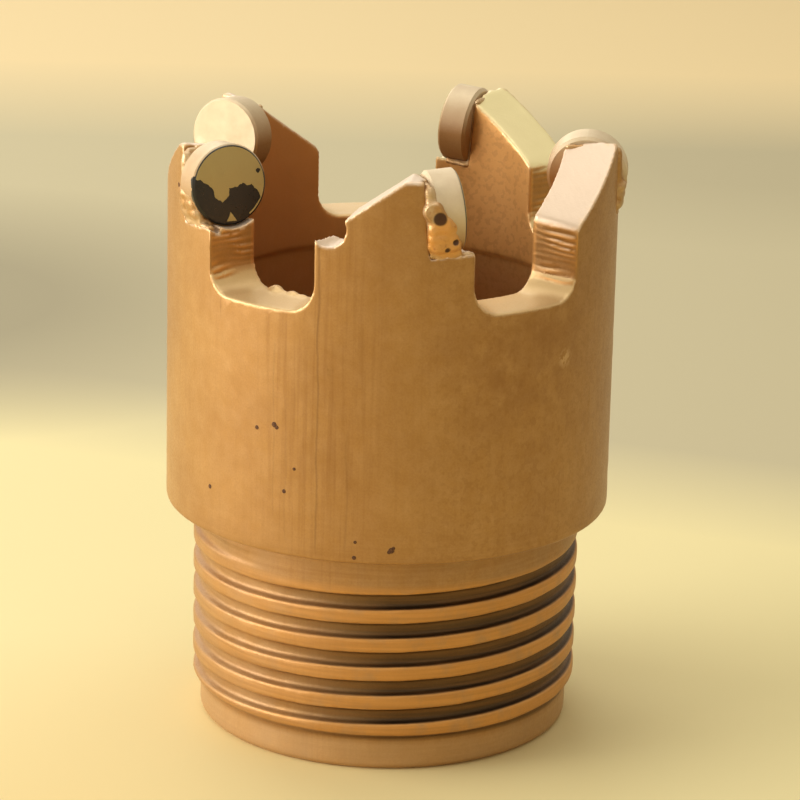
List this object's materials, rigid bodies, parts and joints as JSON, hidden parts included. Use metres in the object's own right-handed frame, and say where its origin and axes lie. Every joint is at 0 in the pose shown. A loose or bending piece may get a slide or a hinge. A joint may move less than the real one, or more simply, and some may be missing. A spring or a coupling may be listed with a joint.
{
  "type": "core drill bit",
  "caption": "Ring-shaped rock coring bit with round diamond cutters brazed into sloping teeth and a threaded shank below a flat shoulder.",
  "frame": {"origin": "on the bore axis, in the plane of the shank's end face", "axes": "+Z along the bore axis from the shank up to the cutters, -Y towards the side the picture shows, angles about +Z grow the way the teeth cut"},
  "size_m": [0.0774, 0.0766, 0.104],
  "materials": {
    "painted_steel": "gold-brown paint over turned and milled steel",
    "carbide": "ground tungsten carbide, painted over with the body",
    "diamond": "lapped black diamond with paint left on its upper half",
    "braze": "silver braze, painted over with the body"
  },
  "bodies": {
    "root": {"steel_body": "painted_steel", "diamond_table_1": "diamond", "carbide_stud_1": "carbide", "braze_joint_1": "braze", "diamond_table_2": "diamond", "carbide_stud_2": "carbide", "braze_joint_2": "braze", "diamond_table_3": "diamond", "carbide_stud_3": "carbide", "braze_joint_3": "braze", "diamond_table_4": "diamond", "carbide_stud_4": "carbide", "braze_joint_4": "braze", "diamond_table_5": "diamond", "carbide_stud_5": "carbide", "braze_joint_5": "braze"}
  },
  "joints": []
}
